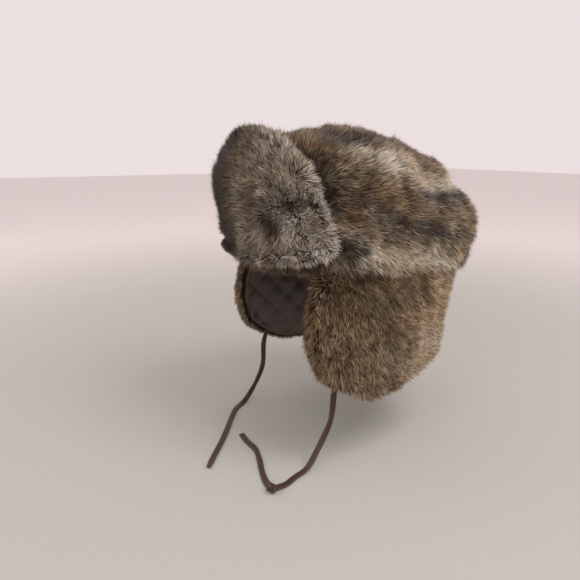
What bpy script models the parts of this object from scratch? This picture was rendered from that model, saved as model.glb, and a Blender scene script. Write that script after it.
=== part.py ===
"""Trapper hat: a fur crown, a turned-up visor, two ear flaps, a neck flap and two leather ties.

Metres, +Z up. The visor faces -Y and the wearer's left is +X. The origin is the middle of the
head opening, where a head holds the hat up. Every layer of the hat grows outwards from one head
surface: lining first, then batting, then the fur pelt.
"""
import math

import bmesh
import bpy
from mathutils import Vector

# The head surface, which is the inside of the lining, at its widest level and above it.
GIRTH_HALF_WIDTH = 0.079
GIRTH_FRONT = 0.100
GIRTH_BACK = 0.110
GIRTH_HEIGHT = 0.022
CAVITY_TOP = 0.108
BACK_FALL = 0.13             # share of its height that the dome loses towards the back
UNDER_REACH = 0.055          # how fast the crown curls in below the girth
PLAN_POWER = 2.4             # 2 is an ellipse, more is squarer
PROFILE_POWER = 2.4

# The opening's plan, which the hanging flaps follow.
OPENING_HALF_WIDTH = 0.0765
OPENING_HALF_LENGTH = 0.100

# The lower edge of the crown drops a little to the back.
EDGE_HEIGHT = 0.002
EDGE_SLOPE = 0.05
EDGE_GAP = 0.001             # between the crown's edge and the flaps below it

SEAM_GAP = 0.0004
LINING = 0.0012
CROWN_BATTING = 0.006
FLAP_BATTING = 0.004
PELT = 0.010
STRIP_HALF_WIDTH = 0.030     # centre strip of the crown, front to back

SWEATBAND_THICKNESS = 0.0012
SWEATBAND_HEIGHT = 0.028

VISOR_CLEARANCE = 0.0195     # growth of the visor's back face from the head surface
VISOR_BOTTOM = 0.014
VISOR_TOP = 0.117
VISOR_REACH = 0.150
VISOR_INTERFACING = 0.0016
VISOR_PELT = 0.013
VISOR_ANGLES = ((0.0, 54.0), (0.35, 50.0), (0.75, 42.0), (1.0, 31.0))

FLAP_BACK = 0.071
REAR_LEAN = 0.012            # how far the flaps' rear edges come forward by their lower edge
FLAP_FRONT = ((0.0, -0.055), (0.30, -0.081), (0.70, -0.088), (1.0, -0.079))
FLAP_DEPTHS = ((0.0, 0.096), (0.16, 0.114), (0.36, 0.124), (0.60, 0.119), (0.82, 0.108), (1.0, 0.104))
FLAP_FLAT_X = 0.0785
FLAP_FLARE = 0.005
FLAP_CURL = 0.007            # how far its front edge curls in towards the cheek
FLAP_TUCK = 0.004            # trimmed off at the top, so that every layer ends level

NECK_FRONT = 0.0735
NECK_DEPTHS = ((0.0, 0.104), (0.5, 0.120), (1.0, 0.104))
NECK_TAPER = 0.60            # share of its bulge that it loses by its lower edge
NECK_NARROW = 0.20           # share of its width that it loses by its lower edge

TABLE_HEIGHT = -0.190        # the surface that the ties reach, below the worn hat
TIE_RADIUS = 0.002
TIE_STANDOFF = 0.0026        # tie axis from the lining, so that a flap folds past its tie
KNOT_RADIUS = 0.0052
TIE_POSITION = 0.13          # along the flap's lower edge, from its front

SCENE_NAME = "trapper_hat"


def new_collection(name):
    collection = bpy.data.collections.new(name)
    bpy.context.scene.collection.children.link(collection)
    return collection


def material(name, colour, roughness):
    """A plain Principled material, without metal."""
    made = bpy.data.materials.new(name)
    made.use_nodes = True
    shader = made.node_tree.nodes["Principled BSDF"]
    shader.inputs["Base Color"].default_value = (*colour, 1.0)
    shader.inputs["Roughness"].default_value = roughness
    shader.inputs["Metallic"].default_value = 0.0
    return made


def smooth_curve(points, position):
    """Reads a Catmull-Rom curve through (position, value) points."""
    last = len(points) - 1
    index = 0
    while index < last - 1 and position > points[index + 1][0]:
        index += 1
    start, value_a = points[index]
    end, value_b = points[index + 1]
    before = points[max(index - 1, 0)]
    after = points[min(index + 2, last)]
    span = end - start
    t = min(max((position - start) / span, 0.0), 1.0)
    slope_a = (value_b - before[1]) / (end - before[0]) * span
    slope_b = (after[1] - value_a) / (after[0] - start) * span
    return (
        (2 * t**3 - 3 * t**2 + 1) * value_a
        + (t**3 - 2 * t**2 + t) * slope_a
        + (3 * t**2 - 2 * t**3) * value_b
        + (t**3 - t**2) * slope_b
    )


def smooth_step(value):
    value = min(max(value, 0.0), 1.0)
    return value * value * (3.0 - 2.0 * value)


def signed_power(value, power):
    return math.copysign(abs(value) ** power, value)


def edge_height(y):
    """Height of the crown's lower edge."""
    return EDGE_HEIGHT - EDGE_SLOPE * y


def dome_point(direction, growth):
    """Maps a unit direction to the crown's head surface, grown outwards."""
    x, y, z = direction
    around = math.hypot(x, y)
    across = x / around if around > 1e-6 else 0.0
    along = y / around if around > 1e-6 else 0.0
    level = around ** (2.0 / PROFILE_POWER)
    length = GIRTH_BACK if along > 0 else GIRTH_FRONT
    rise = UNDER_REACH
    if z > 0:
        rise = (CAVITY_TOP - GIRTH_HEIGHT) * (1.0 - BACK_FALL * max(y, 0.0))
    return Vector((
        signed_power(across, 2.0 / PLAN_POWER) * (GIRTH_HALF_WIDTH + growth) * level,
        signed_power(along, 2.0 / PLAN_POWER) * (length + growth) * level,
        GIRTH_HEIGHT + signed_power(z, 2.0 / PROFILE_POWER) * (rise + growth),
    ))


def plan_reach(place, along, across):
    """Half the opening's size across, at a place along its other axis."""
    share = min(abs(place) / along, 1.0)
    return across * (1.0 - share**PLAN_POWER) ** (1.0 / PLAN_POWER)


def visor_point(across, up):
    """Back of the visor: across runs 0 to 1 from the wearer's right, up from its lower edge."""
    across = 2.0 * across - 1.0
    angle = math.radians(smooth_curve(VISOR_ANGLES, up)) * across
    top = VISOR_TOP - 0.018 * abs(across) ** 3
    z = VISOR_BOTTOM + (top - VISOR_BOTTOM) * up + 0.012 * abs(across) ** 3 * (1.0 - up)
    lean = max(z - GIRTH_HEIGHT, 0.0) / VISOR_REACH
    level = (1.0 - lean**PROFILE_POWER) ** (1.0 / PROFILE_POWER)
    half_width = GIRTH_HALF_WIDTH + VISOR_CLEARANCE
    return Vector((
        signed_power(math.sin(angle), 2.0 / PLAN_POWER) * half_width * level,
        -signed_power(math.cos(angle), 2.0 / PLAN_POWER) * (GIRTH_FRONT + VISOR_CLEARANCE) * level,
        z,
    ))


def ear_flap_point(back, up):
    """Left ear flap: back runs 0 to 1 from its front edge, up runs 0 to 1 from its bottom."""
    down = 1.0 - up
    front_y = smooth_curve(FLAP_FRONT, down)
    y = front_y + (FLAP_BACK - REAR_LEAN * down - front_y) * back
    hung = smooth_step(down / 0.35) * smooth_step((0.035 - y) / 0.07)
    flat_x = FLAP_FLAT_X + FLAP_FLARE * down
    banded_x = plan_reach(y, OPENING_HALF_LENGTH, OPENING_HALF_WIDTH) - 0.004 * down
    curl = FLAP_CURL * max(1.0 - back / 0.3, 0.0) ** 2 * smooth_step(down / 0.4)
    z = edge_height(y) + FLAP_TUCK - down * smooth_curve(FLAP_DEPTHS, back)
    return Vector((banded_x + (flat_x - banded_x) * hung - curl, y, z))


def neck_flap_point(right, up):
    """Neck flap: right runs 0 to 1 from the wearer's left, up runs 0 to 1 from its bottom."""
    down = 1.0 - up
    x = plan_reach(NECK_FRONT, OPENING_HALF_LENGTH, OPENING_HALF_WIDTH) * (1.0 - 2.0 * right)
    bulge = plan_reach(x, OPENING_HALF_WIDTH, OPENING_HALF_LENGTH) - NECK_FRONT
    x *= 1.0 - NECK_NARROW * down
    y = NECK_FRONT - REAR_LEAN * down + bulge * (1.0 - NECK_TAPER * down)
    z = edge_height(y) + FLAP_TUCK - down * smooth_curve(NECK_DEPTHS, right)
    return Vector((x, y, z))


def finish(name, mesh, look, parent):
    """Links a new object with its material, and keeps its place under its joint's empty."""
    made = bpy.data.objects.new(name, mesh)
    parts.objects.link(made)
    made.data.materials.append(look)
    if parent:
        mesh.transform(parent.matrix_world.inverted())
        made.parent = parent
    return made


def solidify(target, thickness):
    modifier = target.modifiers.new("thickness", "SOLIDIFY")
    modifier.thickness = thickness
    modifier.offset = 1.0


def block_below(name, height):
    """A block whose top face is the slanted plane of the crown's edge, at this height."""
    tilt = math.atan(EDGE_SLOPE)
    bpy.ops.mesh.primitive_cube_add(size=0.5)
    block = bpy.context.object
    block.name = name
    block.rotation_euler.x = -tilt
    block.location = (0.0, -0.25 * math.sin(tilt), height - 0.25 * math.cos(tilt))
    block.display_type = "WIRE"
    block.hide_render = True
    for holder in list(block.users_collection):
        holder.objects.unlink(block)
    cutters.objects.link(block)
    return block


def crown_shell(name, growth, thickness, look, keep=(), top_cut=None):
    """One layer of the crown, or a panel of it; keep lists (point, outward normal) cuts."""
    shell = bmesh.new()
    bmesh.ops.create_uvsphere(shell, u_segments=32, v_segments=18, radius=1.0)
    for vertex in shell.verts:
        vertex.co = dome_point(vertex.co.normalized(), growth)
    cuts = [((0.0, 0.0, -0.022), (0.0, 0.0, -1.0)), *keep]
    if top_cut is not None:
        cuts.append(((0.0, 0.0, top_cut), (0.0, EDGE_SLOPE, 1.0)))
    for point, normal in cuts:
        geometry = shell.verts[:] + shell.edges[:] + shell.faces[:]
        bmesh.ops.bisect_plane(
            shell, geom=geometry, dist=1e-6, plane_co=point, plane_no=normal, clear_outer=True
        )
    mesh = bpy.data.meshes.new(name)
    shell.to_mesh(mesh)
    shell.free()
    mesh.shade_smooth()
    made = finish(name, mesh, look, None)
    solidify(made, thickness)
    trim = made.modifiers.new("lower_edge", "BOOLEAN")
    trim.operation = "DIFFERENCE"
    trim.solver = "EXACT"
    trim.object = lower_cutter
    return made


def patch(name, surface, growth, thickness, cells, look, parent, mirrored=False, hangs=True):
    """A layer of a flap: a grid laid on its surface and given its thickness outwards."""
    grid = bmesh.new()
    bmesh.ops.create_grid(grid, x_segments=cells[0], y_segments=cells[1], size=0.5)
    for vertex in grid.verts:
        vertex.co = surface(vertex.co.x + 0.5, vertex.co.y + 0.5)
        if mirrored:
            vertex.co.x = -vertex.co.x
    if mirrored:
        bmesh.ops.reverse_faces(grid, faces=grid.faces[:])
    grid.normal_update()
    for vertex in grid.verts:
        vertex.co += growth * vertex.normal
    mesh = bpy.data.meshes.new(name)
    grid.to_mesh(mesh)
    grid.free()
    mesh.shade_smooth()
    made = finish(name, mesh, look, parent)
    solidify(made, thickness)
    if hangs:
        trim = made.modifiers.new("top_edge", "BOOLEAN")
        trim.operation = "INTERSECT"
        trim.solver = "EXACT"
        trim.object = hanging_space
    return made


def joint(name, place):
    """An empty on a joint's axis, which carries the pieces that turn there."""
    empty = bpy.data.objects.new(name, None)
    empty.location = place
    parts.objects.link(empty)
    bpy.context.view_layer.update()
    return empty


def tie_curve(name, route, look, parent):
    """A thong as a plain tube along a smooth curve through its route's points."""
    places = [Vector(point) for point in route]
    positions = [0.0]
    for before, after in zip(places, places[1:]):
        positions.append(positions[-1] + (after - before).length)
    count = round(positions[-1] / (5.0 * TIE_RADIUS)) + 1
    curve = bpy.data.curves.new(name, "CURVE")
    curve.dimensions = "3D"
    curve.bevel_depth = TIE_RADIUS
    curve.bevel_resolution = 2
    curve.use_fill_caps = True
    spline = curve.splines.new("POLY")
    spline.points.add(count - 1)
    offset = parent.matrix_world.translation
    for index in range(count):
        reach = positions[-1] * index / (count - 1)
        point = [
            smooth_curve([(at, place[axis]) for at, place in zip(positions, places)], reach)
            for axis in range(3)
        ]
        spline.points[index].co = (*(Vector(point) - offset), 1.0)
    made = bpy.data.objects.new(name, curve)
    parts.objects.link(made)
    curve.materials.append(look)
    made.parent = parent
    return made


for old in list(bpy.data.objects):
    bpy.data.objects.remove(old, do_unlink=True)

parts = new_collection(SCENE_NAME)
cutters = new_collection("cutters")

pelt_dark = material("rabbit_pelt_dark", (0.070, 0.045, 0.030), 0.9)
pelt_grey = material("rabbit_pelt_grey", (0.160, 0.130, 0.105), 0.9)
pelt_brown = material("rabbit_pelt_brown", (0.110, 0.075, 0.050), 0.9)
batting_look = material("polyester_batting", (0.75, 0.74, 0.70), 0.9)
satin = material("satin_lining", (0.030, 0.022, 0.018), 0.4)
ribbon = material("sweatband_ribbon", (0.018, 0.015, 0.014), 0.6)
thong_look = material("leather_thong", (0.045, 0.022, 0.015), 0.5)
thread_look = material("waxed_thread", (0.050, 0.030, 0.020), 0.5)
card = material("visor_interfacing", (0.55, 0.52, 0.46), 0.8)

# The crown is trimmed off below its slanted lower edge, and the flaps above it.
lower_cutter = block_below("below_lower_edge", EDGE_HEIGHT)
hanging_space = block_below("hanging_space", EDGE_HEIGHT - EDGE_GAP)

# The crown: a sweatband, a quilted lining, batting and pelts, each sewn from two sides and a
# centre strip that runs from the brow over the top to the nape.
half_gap = SEAM_GAP / 2
left_cut = ((STRIP_HALF_WIDTH + half_gap, 0.0, 0.0), (-1.0, 0.0, 0.0))
right_cut = ((-STRIP_HALF_WIDTH - half_gap, 0.0, 0.0), (1.0, 0.0, 0.0))
strip_cuts = (
    ((STRIP_HALF_WIDTH - half_gap, 0.0, 0.0), (1.0, 0.0, 0.0)),
    ((-STRIP_HALF_WIDTH + half_gap, 0.0, 0.0), (-1.0, 0.0, 0.0)),
)
panels = (("left", (left_cut,)), ("right", (right_cut,)), ("centre", strip_cuts))
batting_growth = LINING + SEAM_GAP
pelt_growth = batting_growth + CROWN_BATTING + SEAM_GAP
crown_shell(
    "sweatband", -SWEATBAND_THICKNESS - SEAM_GAP, SWEATBAND_THICKNESS, ribbon,
    top_cut=EDGE_HEIGHT + SWEATBAND_HEIGHT,
)
for panel, cuts in panels:
    crown_shell("crown_lining_" + panel, 0.0, LINING, satin, keep=cuts)
crown_shell("crown_batting", batting_growth, CROWN_BATTING, batting_look)
for panel, cuts in panels:
    crown_shell("crown_fur_" + panel, pelt_growth, PELT, pelt_brown, keep=cuts)

# The visor is turned up against the front of the crown and folds down about its lower edge.
visor_hinge = joint("visor_hinge", (0.0, -GIRTH_FRONT - VISOR_CLEARANCE, VISOR_BOTTOM))
visor_layers = (
    ("visor_lining", LINING, satin),
    ("visor_interfacing", VISOR_INTERFACING, card),
    ("visor_fur", VISOR_PELT, pelt_grey),
)
growth = 0.0
for name, thickness, look in visor_layers:
    patch(name, visor_point, growth, thickness, (14, 7), look, visor_hinge, hangs=False)
    growth += thickness + SEAM_GAP

# Each ear flap hangs below the crown's edge, and folds up and outwards about a line just
# outside it. Its tie hangs from its own pivot at the flap's lower edge.
flap_layers = (
    ("lining", LINING, satin),
    ("batting", FLAP_BATTING, batting_look),
    ("fur", PELT, pelt_dark),
)
hinge_x = OPENING_HALF_WIDTH + 0.0230
hinge_z = edge_height(FLAP_FRONT[0][1])
tie_end = ear_flap_point(TIE_POSITION, 0.0)
tie_above = ear_flap_point(TIE_POSITION, 0.06)
tie_starts = {}
for side, name in ((1.0, "left"), (-1.0, "right")):
    flap_hinge = joint(name + "_ear_flap_hinge", (side * hinge_x, 0.0, hinge_z))
    growth = 0.0
    for layer, thickness, look in flap_layers:
        patch(
            name + "_ear_flap_" + layer, ear_flap_point, growth, thickness, (11, 8), look,
            flap_hinge, mirrored=side < 0,
        )
        growth += thickness + SEAM_GAP
    tie_starts[name] = Vector((side * (tie_end.x - TIE_STANDOFF), tie_end.y, tie_end.z - 0.001))
    tack = bmesh.new()
    bmesh.ops.create_cube(tack, size=1.0)
    bmesh.ops.scale(tack, vec=(0.0008, 0.006, 0.003), verts=tack.verts[:])
    tack_place = Vector((side * (tie_above.x - 0.0019), tie_above.y, tie_above.z))
    bmesh.ops.translate(tack, vec=tack_place, verts=tack.verts[:])
    tack_mesh = bpy.data.meshes.new(name + "_tie_tack")
    tack.to_mesh(tack_mesh)
    tack.free()
    finish(name + "_tie_tack", tack_mesh, thread_look, flap_hinge)

# The neck flap hangs between the ear flaps and folds up at the back.
neck_hinge = joint(
    "neck_flap_hinge", (0.0, OPENING_HALF_LENGTH + 0.0230, edge_height(OPENING_HALF_LENGTH))
)
growth = 0.0
for layer, thickness, look in flap_layers:
    patch("neck_flap_" + layer, neck_flap_point, growth, thickness, (10, 7), look, neck_hinge)
    growth += thickness + SEAM_GAP

# The ties: each hangs to the surface below and lies along it; the left one is knotted.
lying = TABLE_HEIGHT + TIE_RADIUS
left_pivot = joint("left_tie_pivot", tie_starts["left"])
right_pivot = joint("right_tie_pivot", tie_starts["right"])
knot_place = Vector((0.099, -0.141, TABLE_HEIGHT + KNOT_RADIUS))
left_start = tie_starts["left"]
right_start = tie_starts["right"]
tie_curve("left_tie", (
    left_start,
    (left_start.x + 0.001, left_start.y - 0.003, left_start.z - 0.010),
    (0.083, -0.070, -0.145),
    (0.084, -0.084, -0.170),
    (0.086, -0.098, lying + 0.0025),
    (0.090, -0.112, lying),
    (0.096, -0.126, lying),
    (0.0985, -0.1351, lying + 0.0022),
), thong_look, left_pivot)
tie_curve("left_tie_tail", (
    (0.0934, -0.1407, lying + 0.0022),
    (0.083, -0.1395, lying),
    (0.066, -0.1355, lying),
    (0.046, -0.129, lying),
    (0.028, -0.1255, lying),
    (0.012, -0.127, lying),
    (-0.005, -0.127, lying),
), thong_look, left_pivot)
tie_curve("right_tie", (
    right_start,
    (right_start.x - 0.001, right_start.y - 0.003, right_start.z - 0.012),
    (-0.078, -0.067, -0.148),
    (-0.078, -0.078, -0.171),
    (-0.074, -0.093, lying + 0.0025),
    (-0.064, -0.108, lying),
    (-0.044, -0.123, lying),
    (-0.022, -0.137, lying),
    (0.000, -0.152, lying),
    (0.020, -0.167, lying),
    (0.037, -0.179, lying),
), thong_look, right_pivot)
knot = bmesh.new()
bmesh.ops.create_uvsphere(knot, u_segments=14, v_segments=8, radius=KNOT_RADIUS)
bmesh.ops.translate(knot, vec=knot_place, verts=knot.verts[:])
knot_mesh = bpy.data.meshes.new("left_tie_knot")
knot.to_mesh(knot_mesh)
knot.free()
finish("left_tie_knot", knot_mesh, thong_look, left_pivot)
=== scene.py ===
import math

import bmesh
import bpy
import numpy as np
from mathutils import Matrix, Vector
from mathutils.kdtree import KDTree


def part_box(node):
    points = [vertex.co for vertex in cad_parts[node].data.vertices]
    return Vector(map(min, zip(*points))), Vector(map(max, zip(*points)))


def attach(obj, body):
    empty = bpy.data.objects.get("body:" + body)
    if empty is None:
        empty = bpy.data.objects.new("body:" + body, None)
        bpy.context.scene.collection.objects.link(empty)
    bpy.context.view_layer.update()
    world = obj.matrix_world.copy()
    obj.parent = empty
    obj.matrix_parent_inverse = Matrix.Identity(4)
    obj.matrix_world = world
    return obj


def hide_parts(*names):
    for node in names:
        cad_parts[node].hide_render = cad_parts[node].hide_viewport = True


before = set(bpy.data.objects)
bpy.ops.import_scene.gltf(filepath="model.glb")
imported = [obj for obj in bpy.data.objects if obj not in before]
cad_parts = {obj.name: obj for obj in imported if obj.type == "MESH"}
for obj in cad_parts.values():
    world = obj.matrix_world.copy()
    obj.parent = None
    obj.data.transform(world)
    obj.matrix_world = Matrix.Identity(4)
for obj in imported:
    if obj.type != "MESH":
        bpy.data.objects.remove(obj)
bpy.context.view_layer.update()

scene = bpy.context.scene
scene.view_settings.view_transform = "Standard"

# ---------------------------------------------------------------------------------------------
# Camera, floor and light. The worn hat is seen from the wearer's left and a little from the
# front, from just above the visor. The floor lies where the ties end, under the worn hat.
# ---------------------------------------------------------------------------------------------
CAMERA_PLACE = Vector((0.4702, -0.3198, 0.110))
CAMERA_AZIMUTH = math.radians(62.0)
CAMERA_PITCH = math.radians(15.0)
TABLE_HEIGHT = -0.190


def linear(hex_colour):
    """An sRGB hex colour as the linear RGBA that shaders take."""
    values = [int(hex_colour[at:at + 2], 16) / 255.0 for at in (1, 3, 5)]
    parts = [v / 12.92 if v <= 0.04045 else ((v + 0.055) / 1.055) ** 2.4 for v in values]
    return (*parts, 1.0)


def add_node(material, kind, settings=None, values=None, links=None):
    """Adds a shader node; values set its inputs and links join them to other nodes' outputs."""
    node = material.node_tree.nodes.new(kind)
    for key, value in (settings or {}).items():
        setattr(node, key, value)
    for key, value in (values or {}).items():
        node.inputs[key].default_value = value
    for key, source in (links or {}).items():
        material.node_tree.links.new(source, node.inputs[key])
    return node


def new_material(name):
    made = bpy.data.materials.new(name)
    made.use_nodes = True
    return made, made.node_tree.nodes["Principled BSDF"]


back = Vector((
    math.sin(CAMERA_AZIMUTH) * math.cos(CAMERA_PITCH),
    -math.cos(CAMERA_AZIMUTH) * math.cos(CAMERA_PITCH),
    math.sin(CAMERA_PITCH),
))
bpy.ops.object.camera_add(location=CAMERA_PLACE, rotation=back.to_track_quat("Z", "Y").to_euler())
camera = bpy.context.object
camera.data.lens = 32.65
camera.data.clip_start = 0.02
scene.camera = camera

bpy.ops.mesh.primitive_plane_add(size=12.0, location=(0.0, 0.0, TABLE_HEIGHT))
floor = bpy.context.object
floor.name = "floor"

# Painted board, grey under the hat and paler further off, with a faint speckle.
floor_paint, shader = new_material("matt_pale_floor")
place = add_node(floor_paint, "ShaderNodeTexCoord").outputs["Object"]
away = add_node(
    floor_paint, "ShaderNodeVectorMath", {"operation": "LENGTH"}, links={0: place}
).outputs["Value"]
far = add_node(
    floor_paint, "ShaderNodeMapRange", {"interpolation_type": "SMOOTHSTEP"},
    {"From Min": 0.35, "From Max": 1.6}, {"Value": away},
).outputs["Result"]
colour = add_node(
    floor_paint, "ShaderNodeMix", {"data_type": "RGBA"},
    {"A": linear("#AEACA5"), "B": linear("#E9E2E0")}, {"Factor": far},
).outputs["Result"]
speckle = add_node(
    floor_paint, "ShaderNodeTexNoise", values={"Scale": 260.0, "Detail": 3.0},
    links={"Vector": place},
).outputs["Fac"]
colour = add_node(
    floor_paint, "ShaderNodeMix", {"data_type": "RGBA", "blend_type": "SOFT_LIGHT"},
    {"Factor": 0.10}, {"A": colour, "B": speckle},
).outputs["Result"]
floor_paint.node_tree.links.new(colour, shader.inputs["Base Color"])
shader.inputs["Roughness"].default_value = 0.75
shader.inputs["Specular IOR Level"].default_value = 0.2
floor.data.materials.append(floor_paint)

# A large soft light from high behind the camera's right, a weaker one from the left, and a pale
# room all round.
for place, aim, size, power in (
    ((0.75, 0.30, 1.15), (0.0, 0.0, 0.0), 0.7, 11.0),
    ((0.9, -1.0, 0.9), (0.0, 0.0, 0.0), 1.2, 7.0),
    ((-0.6, -1.0, 0.8), (0.0, 0.0, -0.05), 1.4, 2.5),
):
    direction = Vector(place) - Vector(aim)
    bpy.ops.object.light_add(
        type="AREA", location=place, rotation=direction.to_track_quat("Z", "Y").to_euler()
    )
    bpy.context.object.data.size = size
    bpy.context.object.data.energy = power
world = bpy.data.worlds.new("pale_room")
scene.world = world
world.use_nodes = True
world.node_tree.nodes["Background"].inputs["Color"].default_value = linear("#ECE0E0")
world.node_tree.nodes["Background"].inputs["Strength"].default_value = 1.0

# ---------------------------------------------------------------------------------------------
# Chin ties: flat thongs cut from dark brown leather, about 6 mm wide and 1.4 mm thick, that
# twist as they hang and lie on the surface below. The left one ends in an overhand knot and a
# free tail. Each is sewn into its ear flap's lower seam.
# ---------------------------------------------------------------------------------------------
THONG_WIDTH = 0.006
THONG_THICKNESS = 0.0014
LYING = TABLE_HEIGHT + 0.002


def thong_leather():
    """Drum-dyed cowhide cut into lace: a dull grain side, paler and rougher at the cut edges."""
    made, shader = new_material("dark_cowhide_lace")
    place = add_node(made, "ShaderNodeTexCoord").outputs["Object"]
    wear = add_node(
        made, "ShaderNodeTexNoise", values={"Scale": 220.0, "Detail": 5.0, "Roughness": 0.6},
        links={"Vector": place},
    ).outputs["Fac"]
    edge = add_node(made, "ShaderNodeAttribute", {"attribute_name": "cut_edge"}).outputs["Fac"]
    spots = add_node(
        made, "ShaderNodeMapRange", values={"From Min": 0.52, "From Max": 0.72, "To Max": 0.55},
        links={"Value": wear},
    ).outputs["Result"]
    worn = add_node(
        made, "ShaderNodeMath", {"operation": "MAXIMUM"}, links={0: edge, 1: spots}
    ).outputs["Value"]
    colour = add_node(
        made, "ShaderNodeMix", {"data_type": "RGBA"},
        {"A": linear("#382720"), "B": linear("#5E4234")}, {"Factor": worn},
    ).outputs["Result"]
    # Grain cells of about 0.7 mm, coarser than cowhide's own so that they show.
    grain = add_node(
        made, "ShaderNodeTexVoronoi", values={"Scale": 1400.0}, links={"Vector": place}
    ).outputs["Distance"]
    bump = add_node(
        made, "ShaderNodeBump", values={"Strength": 0.35, "Distance": 0.0003},
        links={"Height": grain},
    ).outputs["Normal"]
    rough = add_node(
        made, "ShaderNodeMapRange", values={"To Min": 0.42, "To Max": 0.68}, links={"Value": wear}
    ).outputs["Result"]
    links = made.node_tree.links
    links.new(colour, shader.inputs["Base Color"])
    links.new(bump, shader.inputs["Normal"])
    links.new(rough, shader.inputs["Roughness"])
    shader.inputs["Specular IOR Level"].default_value = 0.4
    return made


leather = thong_leather()


def smooth_path(points, step):
    """Points a step apart on a smooth curve through the given ones."""
    places = np.array(points)
    reach = np.concatenate([[0.0], np.cumsum(np.linalg.norm(np.diff(places, axis=0), axis=1))])
    slopes = np.gradient(places, reach, axis=0)
    count = max(int(reach[-1] / step), 4)
    made = []
    for at in np.linspace(0.0, reach[-1], count + 1):
        k = min(int(np.searchsorted(reach, at, side="right")) - 1, len(reach) - 2)
        span = reach[k + 1] - reach[k]
        t = (at - reach[k]) / span
        made.append(
            (2 * t**3 - 3 * t**2 + 1) * places[k] + (t**3 - 2 * t**2 + t) * span * slopes[k]
            + (3 * t**2 - 2 * t**3) * places[k + 1] + (t**3 - t**2) * span * slopes[k + 1]
        )
    return np.array(made)


def lace(name, points, twists, width=THONG_WIDTH, taper=0.25, seed=1):
    """A flat thong along a path; twists lists (share of the way, turn in degrees)."""
    path = smooth_path(points, 0.0018)
    rng = np.random.default_rng(seed)
    along = np.gradient(path, axis=0)
    along /= np.linalg.norm(along, axis=1)[:, None]
    share = np.linspace(0.0, 1.0, len(path))
    # The thong lies flat at its far end, and its sides are carried back from there.
    flat = np.cross(along[-1], (0.0, 0.0, 1.0))
    sides = [flat / np.linalg.norm(flat)]
    for k in range(len(path) - 2, -1, -1):
        carried = sides[-1] - along[k] * (sides[-1] @ along[k])
        sides.append(carried / np.linalg.norm(carried))
    sides.reverse()
    turn = np.radians(np.interp(share, [t[0] for t in twists], [t[1] for t in twists]))
    waver = np.interp(share, np.linspace(0, 1, 14), rng.uniform(-1, 1, 14))
    bm = bmesh.new()
    edge_layer = bm.verts.layers.float.new("cut_edge")
    profile = (
        (-0.5, -0.25), (-0.46, 0.5), (-0.2, 0.42), (0.2, 0.42), (0.46, 0.5), (0.5, -0.25),
        (0.42, -0.5), (-0.42, -0.5),
    )
    rings = []
    for k, place in enumerate(path):
        up = np.cross(sides[k], along[k])
        side = sides[k] * math.cos(turn[k]) + up * math.sin(turn[k])
        face = np.cross(side, along[k])
        broad = width * (1.0 + 0.10 * waver[k])
        if share[k] > 0.96:
            broad *= 1.0 - taper * (share[k] - 0.96) / 0.04
        ring = []
        for across, deep in profile:
            cup = 0.10 * width * (4.0 * across * across - 0.5) * math.sin(9.0 * share[k])
            vertex = bm.verts.new(
                place + side * across * broad + face * (deep * THONG_THICKNESS + cup)
            )
            vertex[edge_layer] = 0.6 if abs(across) > 0.44 else 0.0
            ring.append(vertex)
        rings.append(ring)
    for first, second in zip(rings, rings[1:]):
        for k in range(len(profile)):
            j = (k + 1) % len(profile)
            bm.faces.new((first[k], first[j], second[j], second[k]))
    bm.faces.new(list(reversed(rings[0])))
    bm.faces.new(rings[-1])
    bmesh.ops.recalc_face_normals(bm, faces=bm.faces[:])
    mesh = bpy.data.meshes.new(name)
    bm.to_mesh(mesh)
    bm.free()
    mesh.shade_smooth()
    mesh.materials.append(leather)
    made = bpy.data.objects.new(name, mesh)
    scene.collection.objects.link(made)
    return made, path


left_start = (0.07865, -0.06037, -0.10329)
right_start = (-0.07865, -0.06037, -0.10329)
left_route = (
    left_start, (0.07965, -0.06337, -0.1133), (0.083, -0.070, -0.145), (0.084, -0.084, -0.170),
    (0.086, -0.098, LYING + 0.0012), (0.090, -0.112, LYING - 0.0006), (0.096, -0.126, LYING - 0.0006),
    (0.0985, -0.1365, LYING + 0.0016),
)
tail_route = (
    (0.0965, -0.1407, LYING + 0.0016), (0.083, -0.1395, LYING - 0.0004),
    (0.066, -0.1355, LYING - 0.0006), (0.046, -0.129, LYING - 0.0006),
    (0.028, -0.1255, LYING - 0.0006), (0.012, -0.127, LYING - 0.0006), (-0.005, -0.127, LYING),
)
right_route = (
    right_start, (-0.07965, -0.06337, -0.1153), (-0.078, -0.067, -0.148), (-0.078, -0.078, -0.171),
    (-0.074, -0.093, LYING + 0.0012), (-0.064, -0.108, LYING - 0.0004),
    (-0.044, -0.123, LYING - 0.0006), (-0.022, -0.137, LYING - 0.0006),
    (0.000, -0.152, LYING - 0.0006), (0.020, -0.167, LYING - 0.0006), (0.037, -0.179, LYING),
)
left_lace, left_path = lace(
    "left_tie_thong", left_route, ((0, 50), (0.3, 75), (0.55, 20), (0.75, 0), (1, 12)), seed=3
)
tail_lace, tail_path = lace(
    "left_tie_tail_thong", tail_route, ((0, 30), (0.15, 5), (0.6, -12), (0.8, 14), (1, 6)), seed=5
)
right_lace, right_path = lace(
    "right_tie_thong", right_route, ((0, 80), (0.18, 60), (0.30, 85), (0.45, 0), (1, 6)), seed=8
)

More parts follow.
